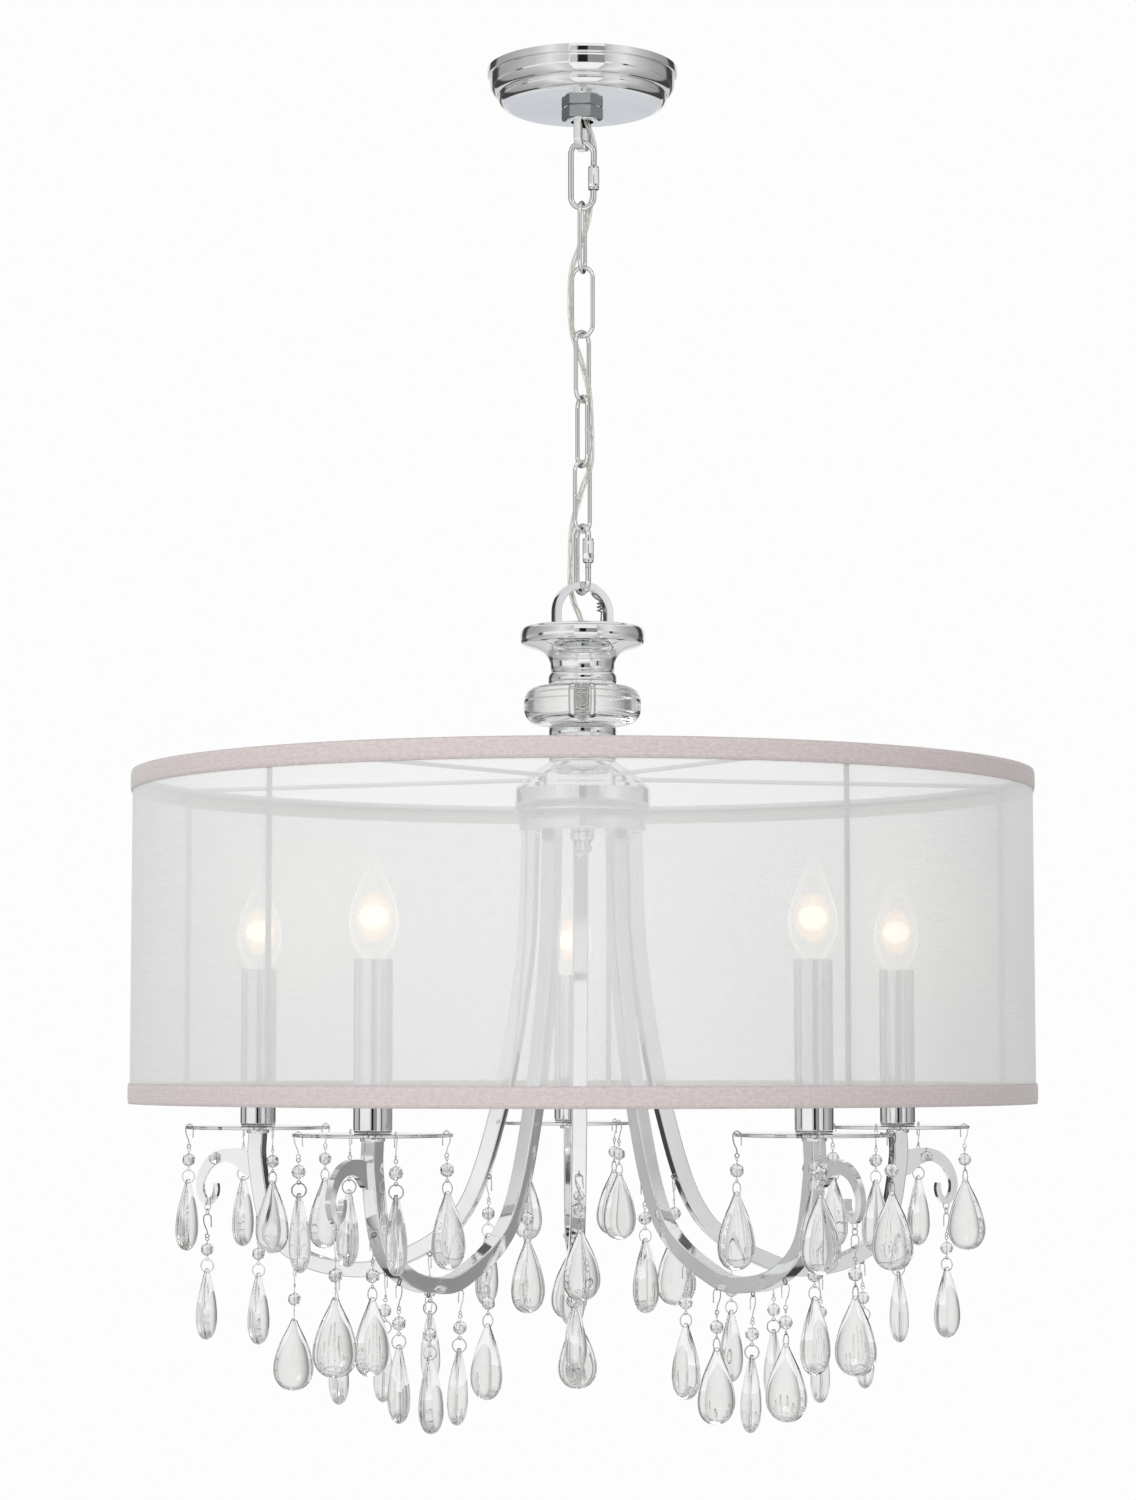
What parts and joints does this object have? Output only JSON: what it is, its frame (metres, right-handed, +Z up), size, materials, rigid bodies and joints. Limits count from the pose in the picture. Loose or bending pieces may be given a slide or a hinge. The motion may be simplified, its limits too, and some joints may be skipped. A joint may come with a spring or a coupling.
{
  "type": "drum chandelier",
  "caption": "Hanging drum chandelier: chrome arms with candle lights and clear drops under a sheer round shade, on a chain.",
  "frame": {"origin": "on the axis, at the ceiling plane, where the fixture is fixed", "axes": "+Z up, the fixture hangs along -Z, and its front faces -Y"},
  "size_m": [0.6356, 0.6356, 0.9521],
  "materials": {
    "polished_chrome": "mirror polished chrome plate",
    "grey_collar": "matt grey ribbed ring",
    "zinc_steel": "plain zinc-plated steel, hidden when fitted",
    "clear_glass": "clear glass, moulded and polished",
    "bulb_glass": "clear candle bulb, lit warm white",
    "white_socket": "white socket body",
    "white_enamel": "white enamelled wire",
    "sheer_organza": "sheer silvery organza, stretched round the frame",
    "silk_trim": "satin band, warm grey",
    "clear_cord": "clear plastic cord over silvery wire"
  },
  "bodies": {
    "ceiling_mount": {"ceiling_crossbar": "zinc_steel", "canopy_nipple": "zinc_steel", "canopy_loop": "polished_chrome", "supply_cord": "clear_cord"},
    "canopy": {"ceiling_canopy": "polished_chrome", "loop_collar": "grey_collar"},
    "quick_link_top": {"quick_link_top": "polished_chrome"},
    "upper_sleeve": {"quick_link_top_sleeve": "polished_chrome"},
    "chain_link_1": {"chain_link_1": "polished_chrome"},
    "chain_link_2": {"chain_link_2": "polished_chrome"},
    "chain_link_3": {"chain_link_3": "polished_chrome"},
    "chain_link_4": {"chain_link_4": "polished_chrome"},
    "chain_link_5": {"chain_link_5": "polished_chrome"},
    "quick_link_bottom": {"quick_link_bottom": "polished_chrome"},
    "lower_sleeve": {"quick_link_bottom_sleeve": "polished_chrome"},
    "fixture": {"body_loop": "polished_chrome", "dish_spool": "polished_chrome", "glass_disc": "clear_glass", "lower_collar": "polished_chrome", "centre_stem": "zinc_steel", "hub_cover": "polished_chrome", "hub_pan": "polished_chrome", "hub_finial": "polished_chrome", "shade_frame": "white_enamel", "shade_fabric": "sheer_organza", "shade_top_trim": "silk_trim", "shade_bottom_trim": "silk_trim", "arm_1": "polished_chrome", "arm_2": "polished_chrome", "arm_3": "polished_chrome", "arm_4": "polished_chrome", "arm_5": "polished_chrome", "glass_dish_1": "clear_glass", "glass_dish_2": "clear_glass", "glass_dish_3": "clear_glass", "glass_dish_4": "clear_glass", "glass_dish_5": "clear_glass", "candle_sleeve_1": "polished_chrome", "candle_sleeve_2": "polished_chrome", "candle_sleeve_3": "polished_chrome", "candle_sleeve_4": "polished_chrome", "candle_sleeve_5": "polished_chrome", "candle_socket_1": "white_socket", "candle_socket_2": "white_socket", "candle_socket_3": "white_socket", "candle_socket_4": "white_socket", "candle_socket_5": "white_socket"},
    "bulb_1": {"bulb_1": "bulb_glass"},
    "bulb_2": {"bulb_2": "bulb_glass"},
    "bulb_3": {"bulb_3": "bulb_glass"},
    "bulb_4": {"bulb_4": "bulb_glass"},
    "bulb_5": {"bulb_5": "bulb_glass"},
    "scroll_drop_1": {"scroll_drop_1": "clear_glass"},
    "scroll_drop_2": {"scroll_drop_2": "clear_glass"},
    "scroll_drop_3": {"scroll_drop_3": "clear_glass"},
    "scroll_drop_4": {"scroll_drop_4": "clear_glass"},
    "scroll_drop_5": {"scroll_drop_5": "clear_glass"}
  },
  "joints": [
    {"name": "bracket_to_upper_quick_link", "type": "hinge", "parent": "ceiling_mount", "child": "quick_link_top", "pos_m": [0, 0, -0.0585], "axis": [0.4226, 0.9063, 0], "range_deg": [-12, 12], "deforming": ["supply_cord"]},
    {"name": "upper_quick_link_to_link_1", "type": "hinge", "parent": "quick_link_top", "child": "chain_link_1", "pos_m": [0, 0, -0.1017], "axis": [1, 0, 0], "range_deg": [-12, 12], "deforming": ["supply_cord"]},
    {"name": "link_1_to_link_2", "type": "hinge", "parent": "chain_link_1", "child": "chain_link_2", "pos_m": [0, 0, -0.1482], "axis": [0.2419, 0.9703, 0], "range_deg": [-12, 12], "deforming": ["supply_cord"]},
    {"name": "link_2_to_link_3", "type": "hinge", "parent": "chain_link_2", "child": "chain_link_3", "pos_m": [0, 0, -0.1952], "axis": [-0.9397, 0.342, 0], "range_deg": [-12, 12], "deforming": ["supply_cord"]},
    {"name": "link_3_to_link_4", "type": "hinge", "parent": "chain_link_3", "child": "chain_link_4", "pos_m": [0, 0, -0.2422], "axis": [0.5878, 0.809, 0], "range_deg": [-12, 12], "deforming": ["supply_cord"]},
    {"name": "link_4_to_link_5", "type": "hinge", "parent": "chain_link_4", "child": "chain_link_5", "pos_m": [0, 0, -0.2892], "axis": [-0.4384, 0.8988, 0], "range_deg": [-12, 12], "deforming": ["supply_cord"]},
    {"name": "link_5_to_lower_quick_link", "type": "hinge", "parent": "chain_link_5", "child": "quick_link_bottom", "pos_m": [0, 0, -0.3362], "axis": [0.6691, 0.7431, 0], "range_deg": [-12, 12], "deforming": ["supply_cord"]},
    {"name": "lower_quick_link_to_ring", "type": "hinge", "parent": "quick_link_bottom", "child": "fixture", "pos_m": [0, 0, -0.3802], "axis": [0.5, -0.866, 0], "range_deg": [-12, 12], "deforming": ["supply_cord"]},
    {"name": "canopy_drop", "type": "slide", "parent": "ceiling_mount", "child": "canopy", "axis": [0, 0, -1], "range_m": [0, 0.02]},
    {"name": "upper_sleeve_run", "type": "slide", "parent": "quick_link_top", "child": "upper_sleeve", "axis": [0, 0, 1], "range_m": [0, 0.009]},
    {"name": "lower_sleeve_run", "type": "slide", "parent": "quick_link_bottom", "child": "lower_sleeve", "axis": [0, 0, -1], "range_m": [0, 0.009]},
    {"name": "bulb_1_lift", "type": "slide", "parent": "fixture", "child": "bulb_1", "axis": [0, 0, 1], "range_m": [0, 0.035]},
    {"name": "bulb_2_lift", "type": "slide", "parent": "fixture", "child": "bulb_2", "axis": [0, 0, 1], "range_m": [0, 0.035]},
    {"name": "bulb_3_lift", "type": "slide", "parent": "fixture", "child": "bulb_3", "axis": [0, 0, 1], "range_m": [0, 0.035]},
    {"name": "bulb_4_lift", "type": "slide", "parent": "fixture", "child": "bulb_4", "axis": [0, 0, 1], "range_m": [0, 0.035]},
    {"name": "bulb_5_lift", "type": "slide", "parent": "fixture", "child": "bulb_5", "axis": [0, 0, 1], "range_m": [0, 0.035]},
    {"name": "scroll_drop_1_swing", "type": "hinge", "parent": "fixture", "child": "scroll_drop_1", "pos_m": [0.26515, 0.09599, -0.81964], "axis": [-0.3404, 0.9403, 0], "range_deg": [-15, 15]},
    {"name": "scroll_drop_2_swing", "type": "hinge", "parent": "fixture", "child": "scroll_drop_2", "pos_m": [-0.00935, 0.28184, -0.81964], "axis": [-0.9995, -0.0332, 0], "range_deg": [-15, 15]},
    {"name": "scroll_drop_3_swing", "type": "hinge", "parent": "fixture", "child": "scroll_drop_3", "pos_m": [-0.27093, 0.0782, -0.81964], "axis": [-0.2773, -0.9608, 0], "range_deg": [-15, 15]},
    {"name": "scroll_drop_4_swing", "type": "hinge", "parent": "fixture", "child": "scroll_drop_4", "pos_m": [-0.1581, -0.23351, -0.81964], "axis": [0.8281, -0.5606, 0], "range_deg": [-15, 15]},
    {"name": "scroll_drop_5_swing", "type": "hinge", "parent": "fixture", "child": "scroll_drop_5", "pos_m": [0.17322, -0.22252, -0.81964], "axis": [0.7891, 0.6143, 0], "range_deg": [-15, 15]}
  ]
}
